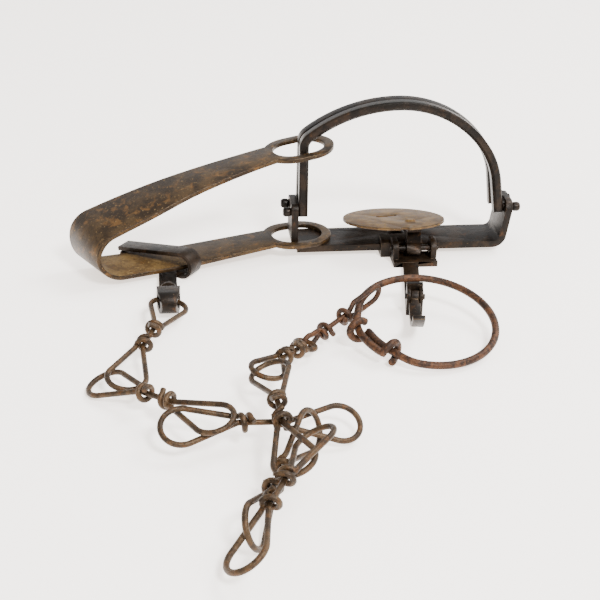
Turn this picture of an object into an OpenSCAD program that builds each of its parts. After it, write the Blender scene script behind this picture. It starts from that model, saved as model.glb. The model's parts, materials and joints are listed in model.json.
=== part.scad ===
// Single long-spring animal trap, sprung, with its wire chain and end ring.
// +X runs along the base to the right post, +Y away from the chain, +Z up.
// The origin is on the resting plane, midway along the base.

/* [Base] */
// Width of the base strap
base_w = 20; // [19:0.5:24]
// Thickness of the base strap and of both posts
base_t = 3.2; // [2.6:0.1:3.8]
// Centre of the base to the inner face of the left post
left_reach = 47.2; // [46:0.5:52]
// Centre of the base to the inner face of the right post, at the pivots
right_reach = 50.3; // [48:0.5:56]
// Outward lean of the right post
post_lean = 8; // [4:1:10]
// Top of the base to the jaw pivots
pivot_rise = 15.5; // [14:0.5:18]
// Metal above the jaw pivots
post_over = 4; // [3.5:0.1:5]
// Metal between a pivot hole and the edge of the left post
post_edge = 1.3; // [1:0.1:1.8]
// Radius of the posts' top corners
post_corner = 3; // [2:0.1:3.5]
// Inner radius of the left bend
left_bend_r = 1.8; // [1.2:0.1:3]
// Inner radius of the right bend
right_bend_r = 3.2; // [2:0.1:5]

/* [Jaws] */
// Height of the jaws above their pivots
jaw_rise = 52; // [46:0.5:58]
// Radial width of a jaw bar
jaw_w = 4.2; // [3.6:0.1:5]
// Thickness of a jaw bar
jaw_t = 5.2; // [4.4:0.1:5.4]
// Distance between the two jaw pivots
pivot_gap = 10.4; // [10:0.1:11.5]
// Gap between the closed jaws at the top
jaw_gap = 0.2; // [0.1:0.05:0.6]
// Diameter of the jaw tenons
tenon_d = 3.6; // [3:0.1:4]
// Radial clearance of a tenon in its post hole
tenon_play = 0.05; // [0.03:0.01:0.1]
// Gap between the left jaw legs and the left post
left_play = 0.2; // [0.15:0.05:0.5]
// Gap between the right jaw legs and the right post, at the pivots
right_play = 0.8; // [0.7:0.05:1.2]
// Tenon standing out past the left post
tenon_out = 3.8; // [2:0.1:5]
// Front tenon standing out past the right post
tenon_out_front = 4.6; // [2:0.1:6]
// Back tenon standing out past the right post
tenon_out_back = 2.5; // [1.5:0.1:6]
// Jaw leg below the pivot
foot = 2.1; // [1.8:0.1:2.4]
// Radius of the left jaw corner
corner_r = 5.5; // [4:0.5:9]
// Radius of the bend that leads into the right jaw leg
shoulder_r = 37; // [30:1:42]
// Inward lean of the right jaw leg
leg_lean = 8; // [6:1:10]
// Highest point of the arch, left of the centre
crown_left = 1; // [-2:0.5:3]
// Chamfer on the gripping edge of a jaw
grip_chamfer = 1.3; // [0.8:0.1:1.6]

/* [Spring] */
// Thickness of the spring strip
spring_t = 2; // [1.6:0.1:2.4]
// Width of the spring next to the eyes
spring_w = 16.6; // [15:0.2:18]
// Width of the spring at the bend
bend_w = 25; // [22:0.5:28]
// Post centre to the centre of the bend
spring_l = 90; // [84:1:96]
// Outer radius of the bend
bend_r = 12.35; // [11.5:0.05:13.5]
// Height of the spring above the resting plane at the bend
bend_lift = 3.1; // [3:0.05:4]
// Radius of the bow in the upper leg
bow_r = 514; // [450:5:650]
// Angle at which the upper leg leaves the bend
rise_angle = 20; // [18:0.5:22]
// Slope of the upper eye
eye_slope = 6; // [3:0.5:8]
// Length of the hole in each eye
eye_l = 24; // [23:0.5:27]
// Clearance between the post and the eye, across both sides
eye_play = 1.4; // [1.2:0.1:2.4]
// Rim round the hole
eye_rim = 4.4; // [3.6:0.1:5]
// Angle of the spring to the base
spring_yaw = 16; // [8:1:24]

/* [Cross and pan] */
// Thickness of the cross strap
cross_t = 2.5; // [2.2:0.1:3]
// Width of the cross where it grips the base
cross_w = 19.5; // [18:0.5:22]
// Width of the narrow arm of the cross
arm_w = 7; // [6.4:0.1:8]
// Centre of the base to the dog pin
cross_reach = 68; // [66:0.5:72]
// Angle of the arm to the left of straight
arm_yaw = 9; // [6:0.5:12]
// Diameter of the pan
pan_d = 47.9; // [40:0.1:50]
// Thickness of the pan
pan_t = 1.2; // [1:0.1:1.6]
// Height of the centre of the pan's top above the resting plane
pan_z = 14.6; // [14:0.1:17]
// Tilt of the pan, front edge up
pan_tilt = 12; // [4:1:16]
// Diameter of the pan pin
pan_pin_d = 2.6; // [2.2:0.1:3]
// Centre of the base to the pan pin
pan_pin_y = 17; // [16.5:0.1:18]
// Height of the pan pin
pan_pin_z = 6.6; // [6.4:0.1:7.4]
// Diameter of the dog pin
dog_pin_d = 2.4; // [2:0.1:2.8]
// Height of the dog pin
dog_pin_z = 7.6; // [7.2:0.1:7.8]
// Length of the dog
dog_l = 36; // [34:0.5:42]
// Width of the dog
dog_w = 5; // [4.6:0.1:5.2]
// Thickness of the dog
dog_t = 2; // [1.6:0.1:2.2]
// Radial clearance of the pins in what turns on them
pin_play = 0.06; // [0.03:0.01:0.1]

/* [Stirrup and swivel] */
// Thickness of the stirrup strip
stirrup_t = 1.8; // [1.4:0.1:2]
// Width of the stirrup strip
stirrup_w = 8; // [7:0.5:9.5]
// Diameter of the swivel shank
shank_d = 3; // [2.6:0.1:3.4]
// Width of the swivel eye
swivel_w = 10; // [8:0.2:10.6]
// Length of the swivel eye
swivel_l = 17; // [16:0.5:19]
// Height of the swivel eye
swivel_h = 9.4; // [9:0.2:10]
// Thickness of the swivel eye
swivel_t = 2.1; // [1.8:0.1:2.2]

/* [Chain] */
// Diameter of the chain wire
wire_d = 2.2; // [1.8:0.1:2.3]
// Centre of a link to the end of its loop
loop_l = 37; // [34:0.5:39]
// Outer width of a loop
loop_w = 17; // [16:0.5:18]
// Turns of each wrapped neck
neck_turns = 1.25; // [1:0.25:1.5]
// Pitch of the wrapped necks
neck_pitch = 2.9; // [2.7:0.1:3.2]
// Gap between a wrapped turn and the strand inside it
neck_gap = 0.5; // [0.45:0.05:0.7]
// Radius of the ring to the centre of its wire
ring_r = 28.5; // [27.5:0.5:30]
// Diameter of the ring wire
ring_d = 3.2; // [2.8:0.1:3.4]

/* [Hidden] */
$fn = 64;

// Heights of the base and the jaw pivots
base_top = cross_t + base_t;
pivot_z = base_top + pivot_rise;
post_top = pivot_z + post_over;
hole_d = tenon_d + 2 * tenon_play;
tongue_w = pivot_gap + hole_d + 2 * post_edge;
cut = 0.5;
seat = 0.05;

// Places of the right bend, so that the leaning post meets right_reach at the pivots
bend_z = base_top + right_bend_r;
post_run = (pivot_z - bend_z + right_bend_r * sin(post_lean)) / cos(post_lean);
bend_x = right_reach - right_bend_r * cos(post_lean) - post_run * sin(post_lean);
left_bend_x = -left_reach + left_bend_r;
post_len = (post_top - bend_z + right_bend_r * sin(post_lean)) / cos(post_lean);

// The jaw arch: four arcs that meet smoothly, and a leg on each side
left_turn = 38;
right_turn = 55;
crown_x = -crown_left;
crown_z = pivot_z + jaw_rise - jaw_w / 2;
leg_left_x = -left_reach + left_play + jaw_w / 2;
leg_right_x = right_reach - right_play - jaw_w / 2;
left_r = corner_r + (crown_x - leg_left_x - corner_r) / sin(left_turn);
end_turn = 90 - leg_lean;
side_drop = shoulder_r * (cos(right_turn) - cos(end_turn));
side_run = shoulder_r * (sin(end_turn) - sin(right_turn));
right_r = (leg_right_x - crown_x - side_run
           - (crown_z - side_drop - pivot_z) * tan(leg_lean))
          / (sin(right_turn) - (1 - cos(right_turn)) * tan(leg_lean));
corner_x = crown_x - (left_r - corner_r) * sin(left_turn);
corner_z = crown_z - left_r + (left_r - corner_r) * cos(left_turn);
shoulder_x = crown_x + (right_r - shoulder_r) * sin(right_turn);
shoulder_z = crown_z - right_r + (right_r - shoulder_r) * cos(right_turn);
jaw_lean = asin((pivot_gap - jaw_t - jaw_gap) / 2 / jaw_rise);

// A bar bent about the Y axis, from angle a0 to a1 above +X
module bent_bar(x, z, r, thick, width, a0, a1)
  translate([x, 0, z]) rotate([90, 0, 0]) rotate([0, 0, a0])
    rotate_extrude(angle = a1 - a0)
      translate([r, -width / 2]) square([thick, width]);

// Closes sections of the same number of points, listed one after another, into a solid
module skin(rings, sides) {
  last = len(rings) - sides;
  walls = [for (i = [0:sides:last - sides], k = [0:sides - 1])
    let (a = i + k, b = i + (k + 1) % sides)
    each [[a, a + sides, b], [b, a + sides, b + sides]]];
  caps = [for (k = [1:sides - 2]) each [[0, k, k + 1], [last, last + k + 1, last + k]]];
  polyhedron(rings, concat(walls, caps));
}

// Cutter that rounds an edge running along +X at the origin, metal at -Y and -Z
module edge_round(r, length)
  translate([-cut, -r, -r]) difference() {
    cube([length + 2 * cut, r + cut, r + cut]);
    rotate([0, 90, 0]) translate([0, 0, -cut]) cylinder(r = r, h = length + 4 * cut);
  }

// Both pivot holes of a post, along X
module pivot_holes(x0, x1)
  for (side = [-1, 1])
    translate([x0, side * pivot_gap / 2, pivot_z]) rotate([0, 90, 0])
      cylinder(d = hole_d, h = x1 - x0);

// Points of an arc in the XZ plane, from angle a0 to a1 above +X
function arc_points(x, z, r, a0, a1, n) =
  [for (i = [0:n]) let (a = a0 + (a1 - a0) * i / n) [x + r * cos(a), z + r * sin(a)]];

module left_post() {
  tongue_x = -left_reach - base_t;
  difference() {
    union() {
      bent_bar(left_bend_x, base_top + left_bend_r, left_bend_r, base_t, tongue_w, 180, 270);
      translate([tongue_x, -tongue_w / 2, base_top + left_bend_r])
        cube([base_t, tongue_w, post_top - base_top - left_bend_r]);
    }
    for (side = [0, 1]) mirror([0, side, 0])
      translate([tongue_x, tongue_w / 2, post_top]) edge_round(post_corner, base_t);
    pivot_holes(tongue_x - cut, -left_reach + cut);
  }
}

module right_post() {
  difference() {
    union() {
      bent_bar(bend_x, bend_z, right_bend_r, base_t, base_w, -90, -post_lean);
      translate([bend_x, 0, bend_z]) rotate([0, post_lean, 0])
        translate([right_bend_r, -base_w / 2, 0]) cube([base_t, base_w, post_len]);
    }
    for (side = [0, 1]) mirror([0, side, 0])
      translate([bend_x, 0, bend_z]) rotate([0, post_lean, 0])
        translate([right_bend_r, base_w / 2, post_len]) edge_round(post_corner + 2, base_t);
    pivot_holes(right_reach - base_t, right_reach + 2 * base_t);
  }
}

module base_frame() color("DimGray") {
  rivet_hole = base_rivet_d;
  difference() {
    union() {
      translate([-left_reach + left_bend_r, -base_w / 2, cross_t])
        cube([left_reach - left_bend_r + bend_x, base_w, base_t]);
      // Square shoulders beside the left tongue
      for (side = [0, 1]) mirror([0, side, 0])
        translate([-left_reach - cut, tongue_w / 2, cross_t])
          cube([left_bend_r + cut, (base_w - tongue_w) / 2, base_t]);
      left_post();
      right_post();
    }
    translate([rivet_x, rivet_y, cross_t - cut]) cylinder(d = rivet_hole, h = base_t + 2 * cut);
  }
}

// Section of a jaw bar: outward from the arch, then towards the back of the gripping side
function jaw_section() =
  let (w = jaw_w / 2, t = jaw_t / 2, c = grip_chamfer, e = grip_chamfer / 2)
  [[-w, -t], [w, -t], [w, t - e], [w - e, t], [-w + c, t], [-w, t - c]];

// Middle of the bar with its outward direction, along an arc
function jaw_arc(x, z, r, a0, a1, n) =
  [for (i = [1:n]) let (a = a0 + (a1 - a0) * i / n) [x + r * cos(a), z + r * sin(a), a]];

foot_z = pivot_z - foot;
right_len = (shoulder_z + shoulder_r * sin(leg_lean) - foot_z) / cos(leg_lean);
right_foot_x = shoulder_x + shoulder_r * cos(leg_lean) + right_len * sin(leg_lean);

function jaw_path() = concat(
  [[leg_left_x, foot_z, 180], [leg_left_x, corner_z, 180]],
  jaw_arc(corner_x, corner_z, corner_r, 180, 90 + left_turn, 8),
  jaw_arc(crown_x, crown_z - left_r, left_r, 90 + left_turn, 90, 12),
  jaw_arc(crown_x, crown_z - right_r, right_r, 90, 90 - right_turn, 16),
  jaw_arc(shoulder_x, shoulder_z, shoulder_r, 90 - right_turn, leg_lean, 10),
  [[right_foot_x, foot_z, leg_lean]]);

// The front jaw standing upright over y = 0
module upright_jaw(out_right) {
  section = jaw_section();
  difference() {
    skin([for (p = jaw_path(), q = section) [p[0] + q[0] * cos(p[2]), -q[1], p[1] + q[0] * sin(p[2])]],
         len(section));
    // Rounded feet, which turn in the corner between post and base
    for (side = [0, 1]) mirror([0, side, 0]) mirror([0, 0, 1])
      translate([-left_reach, jaw_t / 2, -foot_z]) edge_round(foot * 0.7, jaw_w + 2);
    for (side = [0, 1]) mirror([0, side, 0]) mirror([0, 0, 1])
      translate([right_foot_x - jaw_w, jaw_t / 2, -foot_z]) edge_round(foot * 0.7, 2 * jaw_w);
  }
  translate([-left_reach - base_t - tenon_out, 0, pivot_z]) rotate([0, 90, 0])
    cylinder(d = tenon_d, h = base_t + tenon_out + left_play + jaw_w / 2);
  translate([leg_right_x, 0, pivot_z]) rotate([0, 90, 0])
    cylinder(d = tenon_d, h = jaw_w / 2 + right_play + base_t + out_right);
}

module placed_jaw(out_right)
  translate([0, -pivot_gap / 2, pivot_z]) rotate([-jaw_lean, 0, 0])
    translate([0, 0, -pivot_z]) upright_jaw(out_right);

module front_jaw() color("SlateGray") placed_jaw(tenon_out_front);

module back_jaw() color("DarkSlateGray") mirror([0, 1, 0]) placed_jaw(tenon_out_back);

// The spring's own frame: x runs from the post along the spring, y across it
spring_x = -left_reach - base_t / 2;
eye_w = tongue_w + eye_play;
eye_shift = (eye_w - eye_l) / 2 + 1;
bend_cz = bend_lift + bend_r;
bend_a = 90 - rise_angle;
eye_z = base_top + seat;
flat_u = 0.62 * spring_l;
eye_end = eye_shift + eye_l / 2;
eye_tip = eye_shift - eye_l / 2 - eye_rim;
// The bow of the upper leg, tangent to the bend, ends where the eye begins
bow_cu = spring_l + (bend_r - bow_r) * cos(bend_a);
bow_cz = bend_cz + (bend_r - bow_r) * sin(bend_a);
bow_end = acos((eye_end + eye_rim / 2 - bow_cu) / bow_r);
upper_u = bow_cu + bow_r * cos(bow_end);
upper_z = bow_cz + bow_r * sin(bow_end);

module spring_place() translate([spring_x, 0, 0]) rotate([0, 0, 180 + spring_yaw]) children();

// Outline seen from above: round eye, leg widening towards the bend
module spring_plan(z0, z1) {
  far = spring_l + bend_r + cut;
  translate([0, 0, z0]) {
    linear_extrude(z1 - z0)
      polygon([[eye_end, -spring_w / 2], [eye_end, spring_w / 2], [far, bend_w / 2], [far, -bend_w / 2]]);
    eye_outline(z1 - z0, eye_rim);
  }
}

module eye_outline(height, rim) {
  r = eye_w / 2 + rim;
  half = (eye_l - eye_w) / 2;
  for (s = [-1, 1]) translate([eye_shift + s * half, 0, 0]) cylinder(r = r, h = height);
  translate([eye_shift - half, -r, 0]) cube([2 * half, 2 * r, height]);
}

// A strip profile in x and z, drawn as a band one spring thickness deep
module strip(points, width)
  rotate([90, 0, 0]) translate([0, 0, -width / 2]) linear_extrude(width) polygon(points);

module spring_lower() color("Peru") spring_place() {
  wide = bend_w + 2 * eye_rim + eye_w;
  z_flat = bend_lift;
  difference() {
    intersection() {
      union() {
        strip([[eye_tip - cut, eye_z], [eye_end + eye_rim / 2, eye_z], [flat_u, z_flat],
               [spring_l, z_flat], [spring_l, z_flat + spring_t], [flat_u, z_flat + spring_t],
               [eye_end + eye_rim / 2, eye_z + spring_t], [eye_tip - cut, eye_z + spring_t]], wide);
        bent_bar(spring_l, bend_cz, bend_r - spring_t, spring_t, wide, -90, bend_a);
      }
      spring_plan(0, bend_cz + bend_r + cut);
    }
    translate([0, 0, base_top - cut]) eye_outline(spring_t + 4 * cut, 0);
  }
}

module spring_upper() color("Peru") spring_place() {
  wide = bend_w + 2 * eye_rim + eye_w;
  run = upper_u - eye_tip + cut;
  rise = run * tan(eye_slope);
  difference() {
    intersection() {
      union() {
        bent_bar(bow_cu, bow_cz, bow_r - spring_t, spring_t, wide, bend_a, bow_end);
        strip([[upper_u, upper_z], [upper_u - run, upper_z + rise],
               [upper_u - run, upper_z + rise - spring_t],
               [upper_u - spring_t * cos(bow_end), upper_z - spring_t * sin(bow_end)]], wide);
      }
      spring_plan(0, upper_z + 4 * spring_t);
    }
    translate([0, 0, upper_z - 2 * spring_t]) eye_outline(6 * spring_t, 0);
  }
}

// The cross: a plate that grips the base, a narrow arm and a forked ear for the dog
grip_x = -8.5;
grip_lip = 7;
base_rivet_d = 4.4;
rivet_x = grip_x + cross_w / 2;
rivet_y = 3.4;
apron_l = 11.5;
ear_t = 2.6;
ear_r = 3.6;
front_y = -base_w / 2 - cross_t;
ear_left = grip_x + 4.3;
ear_right = grip_x + cross_w + 2.6;
arm_x = grip_x + 14.2;
arm_run = (cross_reach - base_w / 2) / cos(arm_yaw);
fork_wall = 1.6;
fork_r = 3.2;
fork_back = 3;

module arm_place() translate([arm_x, -base_w / 2, 0]) rotate([0, 0, -arm_yaw]) children();

module ear_plate(x)
  difference() {
    translate([x, 0, 0]) {
      translate([0, -pan_pin_y, 0]) cube([ear_t, pan_pin_y + front_y + cut, pan_pin_z + ear_r]);
      translate([0, -pan_pin_y - ear_r, 0]) cube([ear_t, ear_r, pan_pin_z]);
      translate([0, -pan_pin_y, pan_pin_z]) rotate([0, 90, 0]) cylinder(r = ear_r, h = ear_t);
    }
    translate([x - cut, -pan_pin_y, pan_pin_z]) rotate([0, 90, 0])
      cylinder(d = pan_pin_d + 2 * seat, h = ear_t + 2 * cut);
  }

module fork_cheek(x)
  translate([x, 0, 0]) {
    translate([0, -arm_run, 0]) cube([fork_wall, fork_back, dog_pin_z + fork_r]);
    translate([0, -arm_run - fork_r, 0]) cube([fork_wall, fork_r, dog_pin_z]);
    translate([0, -arm_run, dog_pin_z]) rotate([0, 90, 0]) cylinder(r = fork_r, h = fork_wall);
  }

module cross_strap() color("DarkOliveGreen") {
  lip_y = -base_w / 2 + grip_lip;
  lip_z = base_top + seat;
  wall_y = -base_w / 2 - seat;
  difference() {
    union() {
      // Plate under the base, folded up and back over its front edge
      translate([grip_x, 0, 0]) rotate([90, 0, 90]) linear_extrude(cross_w)
        polygon([[front_y, 0], [base_w / 2, 0], [base_w / 2, cross_t - seat], [wall_y, cross_t - seat],
                 [wall_y, lip_z], [lip_y, lip_z], [lip_y - 1, lip_z + cross_t],
                 [front_y + 1.2, lip_z + cross_t], [front_y, lip_z + cross_t - 1.2]]);
      translate([ear_left, front_y - apron_l, 0])
        cube([ear_right + ear_t - ear_left, apron_l + cut, cross_t]);
      ear_plate(ear_left);
      ear_plate(ear_right);
      arm_place() {
        translate([-arm_w / 2, -arm_run - fork_r, 0]) cube([arm_w, arm_run, cross_t]);
        translate([-arm_w / 2, -arm_run + fork_back, 0])
          cube([arm_w, fork_back, dog_pin_z + fork_r + 0.9]);
        fork_cheek(-arm_w / 2);
        fork_cheek(arm_w / 2 - fork_wall);
      }
    }
    translate([rivet_x, rivet_y, -cut]) cylinder(d = base_rivet_d, h = cross_t + 2 * cut);
    arm_place() translate([-arm_w, -arm_run, dog_pin_z]) rotate([0, 90, 0])
      cylinder(d = dog_pin_d + 2 * seat, h = 2 * arm_w);
  }
}

module base_rivet() color("Silver") translate([rivet_x, rivet_y, 0]) {
  cylinder(d = base_rivet_d - 2 * seat, h = base_top + seat);
  translate([0, 0, base_top + seat]) cylinder(d1 = 8, d2 = 5, h = 1.6);
}

// The pan and its hinged post
pan_x = -1;
post_x = arm_x - 0.2;
post_w = 6.4;
post_t = 2;
pan_rivet_d = 3;
pan_rivet_y = -8;
barrel_r = 3.1;
notch_r = 2;
slot_l = 11;
slot_w = 2.8;

module pan_place() translate([pan_x, 0, pan_z]) rotate([-pan_tilt, 0, 0]) children();

module pan_disc() color("Tan") pan_place() difference() {
  translate([0, 0, -pan_t]) cylinder(d = pan_d, h = pan_t, $fn = 128);
  translate([1, -pan_d / 2, -pan_t - cut]) cylinder(r = notch_r, h = pan_t + 2 * cut);
  // Plain slot near the middle
  translate([-2.5, 4.7, -pan_t - cut]) rotate([0, 0, 19]) {
    for (s = [-1, 1]) translate([s * (slot_l - slot_w) / 2, 0, 0])
      cylinder(d = slot_w, h = pan_t + 2 * cut);
    translate([-(slot_l - slot_w) / 2, -slot_w / 2, 0]) cube([slot_l - slot_w, slot_w, pan_t + 2 * cut]);
  }
  translate([post_x - pan_x, pan_rivet_y, -pan_t - cut]) cylinder(d = pan_rivet_d, h = pan_t + 2 * cut);
}

module pan_post() color("BurlyWood") {
  foot_y = -pan_pin_y - post_t / 2;
  flange_l = 17;
  under = (pan_t + post_t / 2) / cos(pan_tilt);
  pin_bore = pan_pin_d + 2 * pin_play;
  difference() {
    union() {
      pan_place() translate([post_x - pan_x - post_w / 2, pan_rivet_y - flange_l / 2 - 2, -pan_t - post_t])
        cube([post_w, flange_l, post_t]);
      translate([post_x - post_w / 2, 0, 0]) rotate([90, 0, 90]) linear_extrude(post_w)
        polygon([[foot_y, pan_pin_z], [foot_y + post_t, pan_pin_z],
                 [foot_y + post_t, pan_z - under - (foot_y + post_t) * tan(pan_tilt)],
                 [foot_y, pan_z - under - foot_y * tan(pan_tilt)]]);
      translate([post_x - post_w / 2, -pan_pin_y, pan_pin_z]) rotate([0, 90, 0])
        cylinder(r = barrel_r, h = post_w);
    }
    translate([post_x - post_w, -pan_pin_y, pan_pin_z]) rotate([0, 90, 0])
      cylinder(d = pin_bore, h = 2 * post_w);
    pan_place() translate([post_x - pan_x, pan_rivet_y, -pan_t - post_t - cut])
      cylinder(d = pan_rivet_d, h = post_t + 2 * cut);
  }
}

module pan_rivet() color("Silver") pan_place() translate([post_x - pan_x, pan_rivet_y, 0]) {
  translate([0, 0, -pan_t - post_t]) cylinder(d = pan_rivet_d - 2 * seat, h = pan_t + post_t);
  cylinder(d1 = 5.4, d2 = 3.6, h = 0.9);
  translate([0, 0, -pan_t - post_t - 0.9]) cylinder(d1 = 3.6, d2 = 5.4, h = 0.9);
}

module pan_pin() color("Gainsboro")
  translate([ear_left - 1.2, -pan_pin_y, pan_pin_z]) rotate([0, 90, 0])
    cylinder(d = pan_pin_d, h = ear_right + ear_t - ear_left + 2.4);

module dog_pin() color("Gainsboro")
  arm_place() translate([-arm_w / 2 - 0.8, -arm_run, dog_pin_z]) rotate([0, 90, 0])
    cylinder(d = dog_pin_d, h = arm_w + 1.6);

// The dog lies back from its ear, curved as it would arch over a set jaw
dog_r = 28;
dog_low = 13;
dog_dip = 3.6;

module dog() color("DarkKhaki") arm_place() translate([0, -arm_run, 0]) {
  eye_l = arm_w - 2 * fork_wall - 0.5;
  eye_r = dog_pin_d / 2 + 1.5;
  a_near = asin((dog_low - eye_r * 0.7) / dog_r);
  a_far = asin((dog_l - dog_low) / dog_r);
  neck_l = 4.6;
  difference() {
    union() {
      translate([-eye_l / 2, 0, dog_pin_z]) rotate([0, 90, 0]) cylinder(r = eye_r, h = eye_l);
      difference() {
        dog_bar(dog_w, -a_near, a_far);
        // Neck between the cheeks
        for (side = [0, 1]) mirror([side, 0, 0])
          translate([eye_l / 2, -neck_l, 0]) cube([dog_w, 2 * neck_l, 3 * dog_pin_z]);
      }
    }
    translate([-eye_l, 0, dog_pin_z]) rotate([0, 90, 0]) cylinder(d = dog_pin_d + 2 * pin_play, h = 2 * eye_l);
  }
}

// A length of the dog's curved bar, between two angles from its lowest point
module dog_bar(width, a0, a1)
  translate([0, -dog_low, dog_dip + dog_r]) rotate([90, 0, 90]) rotate([0, 0, 270 - a1])
    rotate_extrude(angle = a1 - a0)
      translate([dog_r - dog_t, -width / 2]) square([dog_t, width]);

// The stirrup hangs askew round the lower leg; its tail carries the swivel
stirrup_u = 65;
stirrup_yaw = 38;
stirrup_gap = 0.25;
stirrup_play = 2.3;
left_end_r = 4;
right_end_r = 6.2;
leg_width = spring_w + (bend_w - spring_w) * (stirrup_u - eye_end) / (spring_l + bend_r + cut - eye_end);
stirrup_in = (leg_width + stirrup_w * sin(stirrup_yaw)) / cos(stirrup_yaw) + stirrup_play;
stirrup_run = stirrup_in - left_end_r - right_end_r + 2 * stirrup_t;
stirrup_left = -stirrup_run / 2 - (right_end_r - left_end_r) / 2;
stirrup_tip = 90 + 2 * atan((right_end_r - left_end_r) / stirrup_run);
end_gap = 0.5;
swivel_pitch = 9;
tail_w = 8;
tab_w = 7.6;
tab_r = 4.2;
tail_l = 31;
tail_lap = 1;
shank_play = 0.06;
stirrup_x = spring_x - stirrup_u * cos(spring_yaw);
stirrup_y = -stirrup_u * sin(spring_yaw);
swivel_x = stirrup_x + 3.1;
swivel_y = stirrup_y - tail_l;
swivel_z = stirrup_gap + tab_r;

module stirrup_place()
  translate([stirrup_x, stirrup_y, 0]) rotate([0, 0, spring_yaw + stirrup_yaw - 90]) children();

module swivel_place()
  translate([swivel_x, swivel_y, swivel_z]) rotate([-swivel_pitch, 0, 0]) children();

// Side view of the bent strip: from the cut end of the top flat round the right end,
// along the bottom and up the left end, which stops short of the top flat
function stirrup_points() =
  let (xa = stirrup_left,
       xb = xa + stirrup_run,
       za = stirrup_gap + left_end_r,
       zb = stirrup_gap + right_end_r,
       end_a = 180 - asin((left_end_r - stirrup_t - end_gap) / left_end_r) + stirrup_tip - 90,
       top = function(r) [xa + r * cos(stirrup_tip) - (left_end_r + end_gap) * sin(stirrup_tip),
                          za + r * sin(stirrup_tip) + (left_end_r + end_gap) * cos(stirrup_tip)],
       run = function(wall) concat(
         [top(left_end_r - wall)],
         arc_points(xb, zb, right_end_r - wall, stirrup_tip, -90, 16),
         arc_points(xa, za, left_end_r - wall, -90, end_a - 360, 10)))
  concat(run(0), backward(run(stirrup_t)));

module stirrup() color("Sienna") difference() {
  union() {
    stirrup_place() strip(stirrup_points(), stirrup_w);
    translate([swivel_x - tail_w / 2, swivel_y - stirrup_t / 2, stirrup_gap + seat])
      cube([tail_w, tail_l - tail_lap, stirrup_t]);
    swivel_place() {
      translate([-tab_w / 2, -stirrup_t / 2, -tab_r + 0.3]) cube([tab_w, stirrup_t, tab_r]);
      rotate([90, 0, 0]) cylinder(d = tab_w, h = stirrup_t, center = true);
    }
  }
  swivel_place() rotate([90, 0, 0])
    cylinder(d = shank_d + 2 * shank_play, h = 4 * stirrup_t, center = true);
}

// The swivel eye: a broad strap bent into a loop, its far end drilled for the shank
eye_gap = 3.4;
head_h = 1.3;
head_d = shank_d + 0.8;
head_seat = 1.2;
eye_far = stirrup_t / 2 + eye_gap;

module swivel_loop(wall, width) {
  r = swivel_h / 2 - wall;
  run = swivel_l - swivel_h;
  translate([-width / 2, -eye_far - swivel_h / 2, 0]) rotate([0, 90, 0]) {
    cylinder(r = r, h = width);
    translate([0, -run, 0]) cylinder(r = r, h = width);
    translate([-r, -run, 0]) cube([2 * r, run, width]);
  }
}

module swivel_eye() color("RosyBrown") swivel_place() difference() {
  swivel_loop(0, swivel_w);
  swivel_loop(swivel_t, swivel_w + 2 * cut);
  translate([0, -eye_far - swivel_t - cut, 0]) rotate([-90, 0, 0])
    cylinder(d = shank_d + 2 * seat, h = swivel_t + 3 * cut);
}

module swivel_rivet() color("Silver") swivel_place() rotate([90, 0, 0]) {
  inner = eye_far + swivel_t + head_seat;
  translate([0, 0, -stirrup_t / 2 - 0.2]) cylinder(d = shank_d, h = inner + stirrup_t / 2 + 0.2);
  translate([0, 0, -stirrup_t / 2 - 0.2 - head_h]) cylinder(d1 = head_d - 0.6, d2 = head_d, h = head_h);
  translate([0, 0, inner - 0.05]) cylinder(d1 = head_d, d2 = shank_d, h = head_h * 0.7);
}

// One half of a link: the middle strand leaves the centre, rounds the loop and
// comes back to wind about its own neck. The loop droops towards its end.
// With a shoulder, its sides run parallel from there on.
coil_r = wire_d + neck_gap;
coil_in = 4.4;
neck_x = coil_in + neck_pitch * neck_turns + 0.8;
curl_steps = 8;
arc_steps = 13;
wire_sides = 6;
stub_a = 28;

function half_link(l, w, droop, shoulder) =
  let (r = (w - wire_d) / 2,
       cx = l - wire_d / 2 - r,
       sweep = 90 + (shoulder == 0 ? asin(min(1, r / (cx - neck_x))) : 0),
       steps = round(neck_turns * curl_steps),
       slope = -droop / (l - neck_x),
       end_a = 180 - 360 * neck_turns - stub_a)
  concat(
    [[neck_x, 0, 0]],
    shoulder == 0 ? [] : [[neck_x + shoulder, r, slope * shoulder]],
    [for (i = [0:arc_steps])
      let (a = sweep * (1 - 2 * i / arc_steps), x = cx + r * cos(a))
      [x, r * sin(a), slope * (x - neck_x)]],
    shoulder == 0 ? [] : [[neck_x + shoulder + 1, -r, slope * shoulder]],
    [[neck_x + 1.6, -coil_r, slope * 1.6]],
    [for (i = [0:steps])
      let (a = 180 - 360 * neck_turns * i / steps)
      [coil_in + neck_pitch * neck_turns * (1 - i / steps), coil_r * cos(a), coil_r * sin(a)]],
    [[coil_in - 0.9, (coil_r + 0.8) * cos(end_a), (coil_r + 0.8) * sin(end_a)]]);

function turned(p) = [-p[0], -p[1], p[2]];
function backward(points) = [for (i = [len(points) - 1:-1:0]) points[i]];
function link_points(l1, w1, l2, w2, d1, d2, shoulder = 0) =
  concat(backward([for (p = half_link(l2, w2, d2, 0)) turned(p)]), half_link(l1, w1, d1, shoulder));

// A round wire swept along points, as one closed polyhedron of triangles
function unit(v) = v / norm(v);
function along(p, i) = unit(p[min(i + 1, len(p) - 1)] - p[max(i - 1, 0)]);
function square_to(n, t) = unit(n - (n * t) * t);
function normals(p) =
  let (t0 = along(p, 0), n0 = square_to(abs(t0[2]) < 0.8 ? [0, 0, 1] : [1, 0, 0], t0))
  [for (i = 0, n = n0; i < len(p); i = i + 1, n = i < len(p) ? square_to(n, along(p, i)) : n) n];

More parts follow.
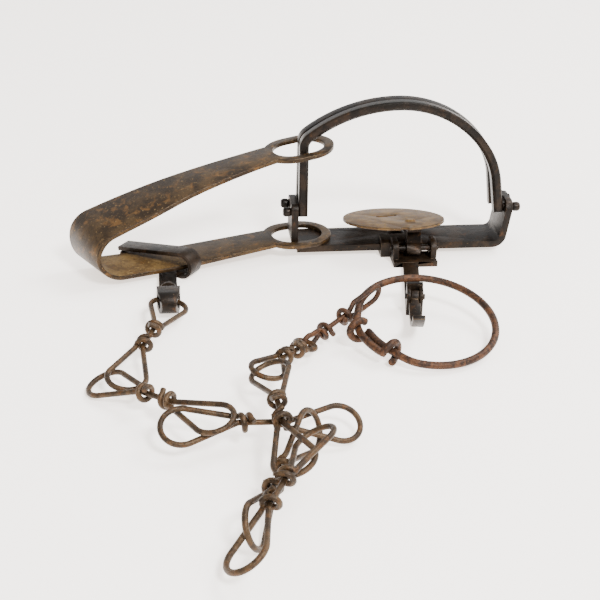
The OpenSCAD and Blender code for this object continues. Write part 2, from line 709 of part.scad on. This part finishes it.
module wire(p, d, sides) {
  n = normals(p);
  skin([for (i = [0:len(p) - 1])
    let (t = along(p, i), b = cross(t, n[i]))
    for (k = [0:sides - 1]) p[i] + d / 2 * (cos(360 * k / sides) * n[i] + sin(360 * k / sides) * b)],
    sides);
}

// Least gap between parts of one wire that are more than a few diameters apart along it
function path_at(p) = [for (i = 0, s = 0; i < len(p); s = s + (i < len(p) - 1 ? norm(p[i + 1] - p[i]) : 0), i = i + 1) s];
function least_gap(p, d) =
  let (s = path_at(p))
  min([for (i = [0:len(p) - 1], j = [0:len(p) - 1]) if (s[j] - s[i] > 4 * d) norm(p[i] - p[j])]) - d;

// Where each link lies: centre, heading of its first loop, pitch and roll
place_a = [-116.5, -97, 8.5, -107, 1, -9];
place_b = [-114, -145, 10, -47, -9, 14];
place_c = [-77, -165, 10, 4, 4, 26];
place_g = [-74, -194.5, 7.5, -114, 0, 112];
place_f = [-75.5, -210.5, 14, 62, -7, -32];
place_d = [-71, -165, 15, 93, 0, -20];
place_e = [-61.5, -115, 9, 60, 14, 11];
place_h = [-41.5, -90.5, 8, 39, -12, 101];
droop = 2.6;
short_l = 19.5;
short_w = 10.6;
long_l = 29;
long_w = 15;
hairpin_l = 29;
hairpin_w = 10;
hairpin_shoulder = 3;
hook_l = 20;
hook_w = 9.4;

module laid(v) translate([v[0], v[1], v[2]]) rotate([v[5], v[4], v[3]]) children();

module link(v) laid(v) wire(link_points(loop_l, loop_w, loop_l, loop_w, droop, droop), wire_d, wire_sides);

function end_link_points() =
  link_points(hairpin_l, hairpin_w, hook_l, hook_w, 0, 0, hairpin_shoulder);

module link_a() color("SaddleBrown") link(place_a);
module link_b() color("Sienna") link(place_b);
module link_c() color("Peru") link(place_c);
module link_g() color("SandyBrown") link(place_g);
module link_f() color("Chocolate") link(place_f);
module link_d() color("RosyBrown") link(place_d);
module link_e() color("Sienna") laid(place_e)
  wire(link_points(short_l, short_w, long_l, long_w, 0, droop), wire_d, wire_sides);
module end_link() color("Chocolate") laid(place_h)
  wire(end_link_points(), wire_d, wire_sides);

// The ring: one wire whose ends overlap and each wrap once round the other strand.
// It leans on the fork of the dog and rests on its wraps and its near wire.
ring_at = [-3, -91, 8.5];
ring_tilt = 11;
ring_lean = 3;
ring_gap = 0.5;
wrap_first = 198;
wrap_last = 585;
wrap_r = ring_d + ring_gap;
wrap_pitch = 8;
ring_step = 9;
ring_sides = 8;

function ease(x) = let (c = min(max(x, 0), 1)) c * c * (3 - 2 * c);
function ring_rho(a) = ring_r
  - wrap_r / 2 * (1 - ease((a - wrap_last + 360) / 30))
  + wrap_r / 2 * ease((a - wrap_first - 330) / 30);
function ring_point(a, rho, z) = [rho * cos(a), rho * sin(a), z];
function ring_points() = concat(
  [for (k = [8:-1:1]) let (a = wrap_first - wrap_pitch * k / 8, w = 180 + 40 * k)
    ring_point(a, ring_rho(a + 360) + wrap_r * cos(w), wrap_r * sin(w))],
  [for (a = [wrap_first:ring_step:wrap_last]) ring_point(a, ring_rho(a), 0)],
  [for (k = [1:8]) let (a = wrap_last + wrap_pitch * k / 8, w = 40 * k)
    ring_point(a, ring_rho(a - 360) + wrap_r * cos(w), wrap_r * sin(w))]);

module chain_ring() color("Chocolate")
  translate(ring_at) rotate([ring_tilt, ring_lean, 0]) wire(ring_points(), ring_d, ring_sides);

echo(link_gap = least_gap(link_points(loop_l, loop_w, loop_l, loop_w, droop, droop), wire_d));
echo(short_link_gap = least_gap(link_points(short_l, short_w, long_l, long_w, 0, droop), wire_d));
echo(end_link_gap = least_gap(end_link_points(), wire_d));
echo(ring_gap = least_gap(ring_points(), ring_d));

base_frame();
front_jaw();
back_jaw();
spring_lower();
spring_upper();
cross_strap();
base_rivet();
pan_disc();
pan_post();
pan_rivet();
pan_pin();
dog();
dog_pin();
stirrup();
swivel_eye();
swivel_rivet();
link_a();
link_b();
link_c();
link_g();
link_f();
link_d();
link_e();
end_link();
chain_ring();
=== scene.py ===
import bpy, bmesh, json, math
from mathutils import Matrix, Vector, Euler


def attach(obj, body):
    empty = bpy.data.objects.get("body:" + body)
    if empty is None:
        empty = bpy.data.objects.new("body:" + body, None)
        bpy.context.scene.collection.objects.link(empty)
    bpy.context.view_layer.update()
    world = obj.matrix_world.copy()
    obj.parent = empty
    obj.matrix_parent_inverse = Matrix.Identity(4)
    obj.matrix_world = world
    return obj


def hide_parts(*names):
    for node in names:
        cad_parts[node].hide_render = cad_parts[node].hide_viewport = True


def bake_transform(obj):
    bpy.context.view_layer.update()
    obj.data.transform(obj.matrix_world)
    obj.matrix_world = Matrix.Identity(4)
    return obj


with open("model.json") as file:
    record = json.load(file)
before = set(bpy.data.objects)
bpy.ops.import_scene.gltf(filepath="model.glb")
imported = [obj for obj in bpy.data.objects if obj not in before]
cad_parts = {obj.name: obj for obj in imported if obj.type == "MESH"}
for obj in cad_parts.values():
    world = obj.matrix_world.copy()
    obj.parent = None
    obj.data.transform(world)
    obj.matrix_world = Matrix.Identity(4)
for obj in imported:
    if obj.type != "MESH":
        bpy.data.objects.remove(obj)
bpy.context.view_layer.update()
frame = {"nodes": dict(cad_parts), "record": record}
print("frame loaded")

mm = 0.001
bodyOf = {node: body for body, nodes in frame["record"]["behaviour"]["bodies"].items() for node in nodes}


def around(degrees):
    return math.cos(math.radians(degrees)), math.sin(math.radians(degrees))


# materials

def colour(hexText, share=1.0):  # sRGB hex to linear, dimmed where the studio's light is strong
    parts = [int(hexText[i:i + 2], 16) / 255 for i in (0, 2, 4)]
    return tuple(share * (c / 12.92 if c <= 0.04045 else ((c + 0.055) / 1.055) ** 2.4) for c in parts) + (1,)


def addNode(tree, kind, inputs=None, **settings):
    node = tree.nodes.new(kind)
    for name, value in settings.items():
        setattr(node, name, value)
    for name, value in (inputs or {}).items():
        if isinstance(value, bpy.types.NodeSocket):
            tree.links.new(value, node.inputs[name])
        else:
            node.inputs[name].default_value = value
    return node


def spots(tree, place, sizeMm, detail, low, high, distortion=0.0):  # noise squeezed between two levels
    noise = addNode(tree, "ShaderNodeTexNoise",
                    {"Vector": place, "Scale": 1 / (sizeMm * mm), "Detail": detail, "Roughness": 0.6,
                     "Distortion": distortion})
    ramp = addNode(tree, "ShaderNodeMapRange",
                   {"Value": noise.outputs["Fac"], "From Min": low, "From Max": high}, clamp=True,
                   interpolation_type="SMOOTHSTEP")
    return ramp.outputs["Result"]


def mix(tree, amount, first, second):
    node = addNode(tree, "ShaderNodeMix", data_type="RGBA")
    for socket, value in ((node.inputs[0], amount), (node.inputs[6], first), (node.inputs[7], second)):
        if isinstance(value, bpy.types.NodeSocket):
            tree.links.new(value, socket)
        else:
            socket.default_value = value
    return node.outputs[2]


def agedIron(name, look):
    material = bpy.data.materials.new(name)
    material.use_nodes = True
    tree = material.node_tree
    tree.nodes.clear()
    place = addNode(tree, "ShaderNodeTexCoord").outputs["Object"]
    broad = spots(tree, place, look["patchMm"], 3, 0.42, 0.62)
    rust = spots(tree, place, look["rustMm"], 5, look["rustFrom"], look["rustFrom"] + 0.16, 0.6)
    dust = spots(tree, place, look["dustMm"], 6, look["dustFrom"], look["dustFrom"] + 0.1)
    pits = spots(tree, place, look["pitMm"], 4, 0.56, 0.72)
    tints = {part: colour(look[part], look.get("share", 0.4)) for part in ("dark", "mid", "rust", "dust", "pit")}
    tone = mix(tree, broad, tints["dark"], tints["mid"])
    tone = mix(tree, rust, tone, tints["rust"])
    tone = mix(tree, dust, tone, tints["dust"])
    tone = mix(tree, pits, tone, tints["pit"])
    rough = addNode(tree, "ShaderNodeMapRange",
                    {"Value": dust, "To Min": look["smooth"], "To Max": look["rough"]}).outputs["Result"]
    grain = addNode(tree, "ShaderNodeTexNoise",
                    {"Vector": place, "Scale": 1 / (look["grainMm"] * mm), "Detail": 6, "Roughness": 0.65})
    lumps = addNode(tree, "ShaderNodeBump",
                    {"Height": broad, "Strength": look["lumps"], "Distance": 0.3 * mm})
    bump = addNode(tree, "ShaderNodeBump",
                   {"Height": grain.outputs["Fac"], "Strength": look["bump"], "Distance": 0.25 * mm,
                    "Normal": lumps.outputs["Normal"]})
    shader = addNode(tree, "ShaderNodeBsdfPrincipled",
                     {"Base Color": tone, "Roughness": rough, "Metallic": look["metallic"],
                      "Specular IOR Level": 0.25,
                      "Normal": bump.outputs["Normal"]})
    addNode(tree, "ShaderNodeOutputMaterial", {"Surface": shader.outputs["BSDF"]})
    return material


# Wrought iron strap gone brown: dark oxide with rust in the hollows and pale dust in the pits
wroughtIron = agedIron("wroughtIronBrownOxide", {
    "dark": "20170f", "mid": "3d2d1e", "rust": "5c3c20", "dust": "8a6f50", "pit": "140e09",
    "patchMm": 9, "rustMm": 4, "rustFrom": 0.56, "dustMm": 1.3, "dustFrom": 0.64, "pitMm": 0.9,
    "grainMm": 0.7, "smooth": 0.42, "rough": 0.75, "metallic": 0.45, "bump": 0.5, "lumps": 0.35})
# Forged jaw bar: near black oxide, rubbed to a soft sheen
forgedIron = agedIron("forgedIronBlackOxide", {
    "dark": "1e1711", "mid": "392b1f", "rust": "523820", "dust": "7e6a52", "pit": "120d09",
    "patchMm": 7, "rustMm": 5, "rustFrom": 0.58, "dustMm": 1.1, "dustFrom": 0.66, "pitMm": 0.8,
    "grainMm": 0.6, "smooth": 0.36, "rough": 0.7, "metallic": 0.5, "bump": 0.45, "lumps": 0.3})
# Tempered spring strip: rolled smooth, brown with a tan bloom
springIron = agedIron("springSteelBrownBloom", {
    "dark": "3b2c1c", "mid": "5f492e", "rust": "7d5930", "dust": "a88a5e", "pit": "1e160d", "share": 0.5,
    "patchMm": 14, "rustMm": 5, "rustFrom": 0.52, "dustMm": 1.2, "dustFrom": 0.6, "pitMm": 0.8,
    "grainMm": 0.6, "smooth": 0.4, "rough": 0.72, "metallic": 0.45, "bump": 0.4, "lumps": 0.25})
# Pan sheet: thin steel, worn pale with a tan rust film
panSteel = agedIron("panSheetTanRust", {
    "dark": "5f4527", "mid": "8a693c", "rust": "7d4f24", "dust": "a5854e", "pit": "35240f", "share": 0.5,
    "patchMm": 8, "rustMm": 3.5, "rustFrom": 0.55, "dustMm": 1.2, "dustFrom": 0.56, "pitMm": 0.7,
    "grainMm": 0.6, "smooth": 0.55, "rough": 0.85, "metallic": 0.15, "bump": 0.4, "lumps": 0.2})
# Inside of the spring's bend, where dry soil has left a tan film
soilFilm = agedIron("springInsideSoilFilm", {
    "dark": "6a4f2a", "mid": "8f7040", "rust": "7a5526", "dust": "ab8c58", "pit": "33240f", "share": 0.55,
    "patchMm": 7, "rustMm": 4, "rustFrom": 0.55, "dustMm": 1.3, "dustFrom": 0.56, "pitMm": 0.8,
    "grainMm": 0.6, "smooth": 0.6, "rough": 0.85, "metallic": 0.1, "bump": 0.35, "lumps": 0.2})
# Drawn wire: brown rust, rubbed grey where links touch
wireIron = agedIron("drawnWireBrownRust", {
    "dark": "4a3826", "mid": "745a3e", "rust": "74502f", "dust": "9b8160", "pit": "281c11",
    "patchMm": 6, "rustMm": 3, "rustFrom": 0.5, "dustMm": 1.0, "dustFrom": 0.6, "pitMm": 0.7,
    "grainMm": 0.5, "smooth": 0.42, "rough": 0.75, "metallic": 0.4, "bump": 0.5, "lumps": 0.3})
# Ring wire: heavier wire with fresh orange rust
ringIron = agedIron("ringWireOrangeRust", {
    "dark": "40291a", "mid": "6a442a", "rust": "7d5132", "dust": "94704f", "pit": "23160e",
    "patchMm": 5, "rustMm": 3, "rustFrom": 0.48, "dustMm": 1.0, "dustFrom": 0.6, "pitMm": 0.8,
    "grainMm": 0.6, "smooth": 0.5, "rough": 0.8, "metallic": 0.3, "bump": 0.55, "lumps": 0.35})
# Edges that hands and soil have rubbed: smoother iron, its brighter colour partly rub wear and partly a painted
# highlight along the edges
rubbedEdgeAndHighlight = agedIron("rubbedIronEdgeAndPaintedHighlight", {
    "dark": "463729", "mid": "6f5b46", "rust": "5c4127", "dust": "927d62", "pit": "2a2018",
    "patchMm": 6, "rustMm": 3, "rustFrom": 0.54, "dustMm": 1.0, "dustFrom": 0.6, "pitMm": 0.9,
    "grainMm": 0.6, "smooth": 0.34, "rough": 0.6, "metallic": 0.6, "bump": 0.3, "lumps": 0.2})
print("materials ready")


# pieces made from the CAD parts, with worn edges and a painted highlight on their bevels

def only(piece):
    bpy.ops.object.select_all(action="DESELECT")
    piece.select_set(True)
    bpy.context.view_layer.objects.active = piece


def finish(piece, body, material, nodes, smoothAngle=35):
    if not piece.data.materials:
        piece.data.materials.append(material)
    piece.data.materials[0] = material
    only(piece)
    bpy.ops.object.shade_smooth_by_angle(angle=math.radians(smoothAngle))
    if body:
        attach(piece, body)
    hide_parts(*nodes)
    return piece


def looseCopy(node):  # a copy of a CAD node's mesh, its loose triangles merged
    source = frame["nodes"][node]
    piece = bpy.data.objects.new(node + "_worn", source.data.copy())
    bpy.context.scene.collection.objects.link(piece)
    only(piece)
    bpy.ops.object.mode_set(mode="EDIT")
    bpy.ops.mesh.select_all(action="SELECT")
    bpy.ops.mesh.remove_doubles(threshold=0.002 * mm)
    bpy.ops.mesh.dissolve_limited(angle_limit=math.radians(0.5))
    bpy.ops.object.mode_set(mode="OBJECT")
    return piece


# rounds the edges and gives the bevel faces the rubbed colour: partly wear, partly a painted highlight
def wearEdgesAndPaintHighlight(piece, widthMm, segments=2, angle=28):
    piece.data.materials.clear()
    for material in (wroughtIron, rubbedEdgeAndHighlight):
        piece.data.materials.append(material)
    bevel = piece.modifiers.new("wear", "BEVEL")
    bevel.width = widthMm * mm
    bevel.segments = segments
    bevel.limit_method = "ANGLE"
    bevel.angle_limit = math.radians(angle)
    bevel.use_clamp_overlap = True
    # bevel faces take the second slot: rubbed wear plus a painted edge highlight
    bevel.material = 1
    only(piece)
    bpy.ops.object.modifier_apply(modifier="wear")


wornPieces = {  # edge wear in mm, material, slot
    "base_frame": (0.35, wroughtIron, "forged_frame"),
    "front_jaw": (0.3, forgedIron, "forged_jaws"),
    "back_jaw": (0.3, forgedIron, "forged_jaws"),
    "cross_strap": (0.3, wroughtIron, "forged_frame"),
    "dog": (0.25, wroughtIron, "dog_steel"),
    "stirrup": (0.3, wroughtIron, "forged_frame"),
    "swivel_eye": (0.3, wroughtIron, "swivel_iron"),
    "pan_disc": (0.2, panSteel, "pan_steel"),
    "pan_post": (0.25, wroughtIron, "pan_steel"),
}
eyeTaper = {"middle": -108.2, "from": -57, "to": -71, "pinch": 0.8}


feet = {"leftPost": -50.4, "rightPost": 54.3, "pivotY": {"front_jaw": -5.2, "back_jaw": 5.2}, "pivotZ": 21.2,
        "swell": ((0.08, 1.0), (0.22, 1.2), (0.65, 1.25), (0.9, 1.08), (1.0, 0.8))}


def headFeet(piece, node):  # the jaw's feet are hammered to round heads outside the posts
    mesh = bmesh.new()
    mesh.from_mesh(piece.data)
    ends = (min(v.co.x for v in mesh.verts) / mm, max(v.co.x for v in mesh.verts) / mm)
    for post, end in zip((feet["leftPost"], feet["rightPost"]), ends):
        outward = 1 if end > post else -1
        for share, _ in feet["swell"][:-1]:
            at = post + (end - post) * share
            bmesh.ops.bisect_plane(mesh, geom=mesh.verts[:] + mesh.edges[:] + mesh.faces[:],
                                   plane_co=(at * mm, 0, 0), plane_no=(1, 0, 0), dist=0.001 * mm)
        for vertex in mesh.verts:
            share = (vertex.co.x / mm - post) / (end - post)
            if share < 0.05 or (vertex.co.x / mm - post) * outward < 0:
                continue
            factor = min(feet["swell"], key=lambda pair: abs(pair[0] - share))[1]
            vertex.co.y = (feet["pivotY"][node] + (vertex.co.y / mm - feet["pivotY"][node]) * factor) * mm
            vertex.co.z = (feet["pivotZ"] + (vertex.co.z / mm - feet["pivotZ"]) * factor) * mm
    mesh.to_mesh(piece.data)
    mesh.free()


def taperEye(piece):  # the swivel's strap narrows round its near end
    for vertex in piece.data.vertices:
        t = (vertex.co.y / mm - eyeTaper["from"]) / (eyeTaper["to"] - eyeTaper["from"])
        width = math.sqrt(1 - eyeTaper["pinch"] * min(max(t, 0), 1) ** 2)
        vertex.co.x = (eyeTaper["middle"] + (vertex.co.x / mm - eyeTaper["middle"]) * width) * mm


for node, (wearMm, material, slotName) in wornPieces.items():
    piece = looseCopy(node)
    if node in feet["pivotY"]:
        headFeet(piece, node)
    if node == "swivel_eye":
        taperEye(piece)
    wearEdgesAndPaintHighlight(piece, wearMm)
    finish(piece, bodyOf[node], material, [node])
print("worn pieces ready")

for node, material in {"base_rivet": wroughtIron, "pan_pin": wroughtIron, "dog_pin": wroughtIron,
                       "pan_rivet": panSteel, "swivel_rivet": wireIron}.items():
    part = frame["nodes"][node]
    part.data.materials.clear()
    part.data.materials.append(material)


# the spring: one strip, bent back on itself

springShape = {  # how the strip is set at its bend, mm: skewed, and its upper leg rolled to the front
    "post": (-48.8, 0), "yaw": 16, "halfWidth": 12.5, "skew": 3.2, "lean": 0.7, "skewFrom": 45, "skewTo": 82,
    "roll": 1.6, "rollFrom": 12, "rollTo": 70, "lowMm": 6, "highMm": 22}


def ease(x):
    x = min(max(x, 0), 1)
    return x * x * (3 - 2 * x)


def dropTwinFaces(piece):  # where two halves meet, their cut faces lie on each other
    mesh = bmesh.new()
    mesh.from_mesh(piece.data)
    bmesh.ops.remove_doubles(mesh, verts=mesh.verts, dist=0.02 * mm)
    twins = [face for face in mesh.faces if all(len(edge.link_faces) > 2 for edge in face.edges)]
    bmesh.ops.delete(mesh, geom=twins, context="FACES_ONLY")
    mesh.to_mesh(piece.data)
    mesh.free()
    return len(twins)


def makeSpring():
    lower, upper = looseCopy("spring_lower"), looseCopy("spring_upper")
    bpy.ops.object.select_all(action="DESELECT")
    lower.select_set(True)
    upper.select_set(True)
    bpy.context.view_layer.objects.active = lower
    bpy.ops.object.join()
    lower.name = "spring_strip"
    print("twin faces at the bend", dropTwinFaces(lower))
    shape = springShape
    c, s = around(shape["yaw"])
    for vertex in lower.data.vertices:
        x, y, z = vertex.co / mm
        x, y = x - shape["post"][0], y - shape["post"][1]
        along, near = -x * c - y * s, x * s - y * c
        side = near / shape["halfWidth"]
        skew = ease((along - shape["skewFrom"]) / (shape["skewTo"] - shape["skewFrom"]))
        top = ease((z - shape["lowMm"]) / (shape["highMm"] - shape["lowMm"]))
        roll = ease((along - shape["rollFrom"]) / (shape["rollTo"] - shape["rollFrom"]))
        along -= shape["skew"] * (side + shape["lean"]) * skew
        z -= shape["roll"] * side * top * roll
        vertex.co = Vector((shape["post"][0] - along * c + near * s,
                            shape["post"][1] - along * s - near * c, z)) * mm
    return lower


spring = makeSpring()
wearEdgesAndPaintHighlight(spring, 0.3)
spring.data.materials.append(soilFilm)
for face in spring.data.polygons:
    low = face.center.z < 9 * mm and face.center.x < -95 * mm
    if low and face.normal.z > 0.5 and face.material_index == 0:
        face.material_index = 2
finish(spring, None, springIron, ["spring_lower", "spring_upper"])
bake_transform(spring)
print("spring ready")


# wire chain and ring

wire = {"wireMm": 2.2, "coilMm": 2.7, "coilIn": 4.4, "turns": 1.25, "pitch": 2.9, "stub": 28, "droop": 2.6,
        "arcSteps": 26, "curlSteps": 16}
chain = {  # centre, then heading, pitch and roll
    "link_a": (-116.5, -97, 8.5, -107, 1, -9),
    "link_b": (-114, -145, 10, -47, -9, 14),
    "link_c": (-77, -165, 10, 4, 4, 26),
    "link_g": (-74, -194.5, 7.5, -114, 0, 112),
    "link_f": (-75.5, -210.5, 14, 62, -7, -32),
    "link_d": (-71, -165, 15, 93, 0, -20),
    "link_e": (-61.5, -115, 9, 60, 14, 11),
    "end_link": (-41.5, -90.5, 8, 39, -12, 101),
}
loops = {  # length and width of each loop, its droop and how soon its sides run parallel
    "long": ((37, 17, wire["droop"], 0), (37, 17, wire["droop"], 0)),
    "link_e": ((19.5, 10.6, 0, 0), (29, 15, wire["droop"], 0)),
    "end_link": ((29, 10, 0, 3), (20, 9.4, 0, 0)),
}


def halfLink(length, width, droop, shoulder):
    r = (width - wire["wireMm"]) / 2
    cx = length - wire["wireMm"] / 2 - r
    neck = wire["coilIn"] + wire["pitch"] * wire["turns"] + 0.8
    sweep = 90 if shoulder else 90 + math.degrees(math.asin(min(1, r / (cx - neck))))
    slope = -droop / (length - neck)
    turn = 360 * wire["turns"]
    path = [(neck, 0, 0)]
    if shoulder:
        path.append((neck + shoulder, r, slope * shoulder))
    for i in range(wire["arcSteps"] + 1):
        c, s = around(sweep * (1 - 2 * i / wire["arcSteps"]))
        path.append((cx + r * c, r * s, slope * (cx + r * c - neck)))
    if shoulder:
        path.append((neck + shoulder + 1, -r, slope * shoulder))
    path.append((neck + 1.6, -wire["coilMm"], slope * 1.6))
    steps = round(wire["turns"] * wire["curlSteps"])
    for i in range(steps + 1):
        c, s = around(180 - turn * i / steps)
        path.append((wire["coilIn"] + wire["pitch"] * wire["turns"] * (1 - i / steps),
                     wire["coilMm"] * c, wire["coilMm"] * s))
    c, s = around(180 - turn - wire["stub"])
    path.append((wire["coilIn"] - 0.9, (wire["coilMm"] + 0.8) * c, (wire["coilMm"] + 0.8) * s))
    return path


def linkPath(first, second):
    return [(-x, -y, z) for x, y, z in reversed(halfLink(*second))] + halfLink(*first)


def laid(path, place):
    x, y, z, heading, pitch, roll = place
    turn = Euler([math.radians(a) for a in (roll, pitch, heading)], "XYZ").to_matrix()
    return [turn @ Vector(p) + Vector((x, y, z)) for p in path]


def wirePiece(name, path, wireMm):
    curve = bpy.data.curves.new(name, "CURVE")
    curve.dimensions = "3D"
    curve.bevel_depth = wireMm / 2 * mm
    curve.bevel_resolution = 3
    curve.use_fill_caps = True
    spline = curve.splines.new("POLY")
    spline.points.add(len(path) - 1)
    for point, place in zip(spline.points, path):
        point.co = (*(Vector(place) * mm), 1)
    piece = bpy.data.objects.new(name, curve)
    bpy.context.scene.collection.objects.link(piece)
    only(piece)
    bpy.ops.object.convert(target="MESH")
    return bpy.context.object


for node, place in chain.items():
    path = laid(linkPath(*loops.get(node, loops["long"])), place)
    piece = wirePiece(node + "_wire", path, wire["wireMm"])
    material = ringIron if node == "end_link" else wireIron
    finish(piece, bodyOf[node], material, [node], 60)
print("chain ready")

ring = {"radius": 28.5, "wireMm": 3.2, "gap": 0.5, "first": 198, "last": 585, "pitch": 8, "step": 3,
        "at": (-3, -91, 8.5), "tilt": 11, "lean": 3}


def ringPath():
    wrap = ring["wireMm"] + ring["gap"]

    def rho(a):
        return (ring["radius"] - wrap / 2 * (1 - ease((a - ring["last"] + 360) / 30))
                + wrap / 2 * ease((a - ring["first"] - 330) / 30))

    def point(a, r, z):
        c, s = around(a)
        return r * c, r * s, z

    path = []
    for k in range(16, 0, -1):
        c, s = around(180 + 20 * k)
        a = ring["first"] - ring["pitch"] * k / 16
        path.append(point(a, rho(a + 360) + wrap * c, wrap * s))
    a = ring["first"]
    while a <= ring["last"]:
        path.append(point(a, rho(a), 0))
        a += ring["step"]
    for k in range(1, 17):
        c, s = around(20 * k)
        a = ring["last"] + ring["pitch"] * k / 16
        path.append(point(a, rho(a - 360) + wrap * c, wrap * s))
    return laid(path, (*ring["at"], 0, ring["lean"], ring["tilt"]))


finish(wirePiece("chain_ring_wire", ringPath(), ring["wireMm"]), "ring", ringIron, ["chain_ring"], 60)
print("ring ready")


# floor, light and camera

studio = {"floor": "fbf8f5", "glow": 1.5, "front": 36.0, "back": 20.0, "sky": 1.3, "reach": 40}
view = {"place": (-110.125, -535.208, 250.123), "down": 27.258, "across": 6.980, "roll": 1.392, "lens": 75}


def makeFloor():
    bpy.ops.object.select_all(action="DESELECT")
    bpy.ops.mesh.primitive_plane_add(size=studio["reach"], location=(0, 0, 0))
    floor = bpy.context.object
    floor.name = "floor"
    paper = bpy.data.materials.new("paleStudioPaper")
    paper.use_nodes = True
    shader = paper.node_tree.nodes["Principled BSDF"]
    shader.inputs["Base Color"].default_value = colour(studio["floor"])
    shader.inputs["Roughness"].default_value = 0.85
    shader.inputs["Emission Color"].default_value = colour("fff1e4")
    shader.inputs["Emission Strength"].default_value = studio["glow"]
    shader.inputs["Specular IOR Level"].default_value = 0.2
    floor.data.materials.append(paper)


def addLight(name, place, aim, size, power):
    lamp = bpy.data.lights.new(name, "AREA")
    lamp.shape = "DISK"
    lamp.size = size
    lamp.energy = power
    light = bpy.data.objects.new(name, lamp)
    light.location = place
    light.rotation_euler = (Vector(aim) - Vector(place)).to_track_quat("-Z", "Y").to_euler()
    bpy.context.scene.collection.objects.link(light)


makeFloor()
addLight("frontLight", (0.35, -1.05, 1.15), (-0.05, -0.08, 0), 0.35, studio["front"])
addLight("backLight", (0.8, 0.3, 1.1), (-0.05, -0.08, 0), 0.7, studio["back"])
world = bpy.data.worlds.new("studioSky")
world.use_nodes = True
world.node_tree.nodes["Background"].inputs["Color"].default_value = colour("ffffff")
world.node_tree.nodes["Background"].inputs["Strength"].default_value = studio["sky"]
bpy.context.scene.world = world


def makeCamera():
    c, s = around(view["down"])
    ca, sa = around(view["across"])
    forward = Vector((sa * c, ca * c, -s))
    level = Vector((ca, -sa, 0))
    cr, sr = around(view["roll"])
    rise = level.cross(forward)
    right, up = level * cr + rise * sr, rise * cr - level * sr
    camera = bpy.data.objects.new("camera", bpy.data.cameras.new("camera"))
    camera.data.lens = view["lens"]
    camera.data.sensor_width = 36
    camera.matrix_world = Matrix((right, up, -forward)).transposed().to_4x4()
    camera.location = Vector(view["place"]) * mm
    bpy.context.scene.collection.objects.link(camera)
    bpy.context.scene.camera = camera


makeCamera()
print("studio ready")
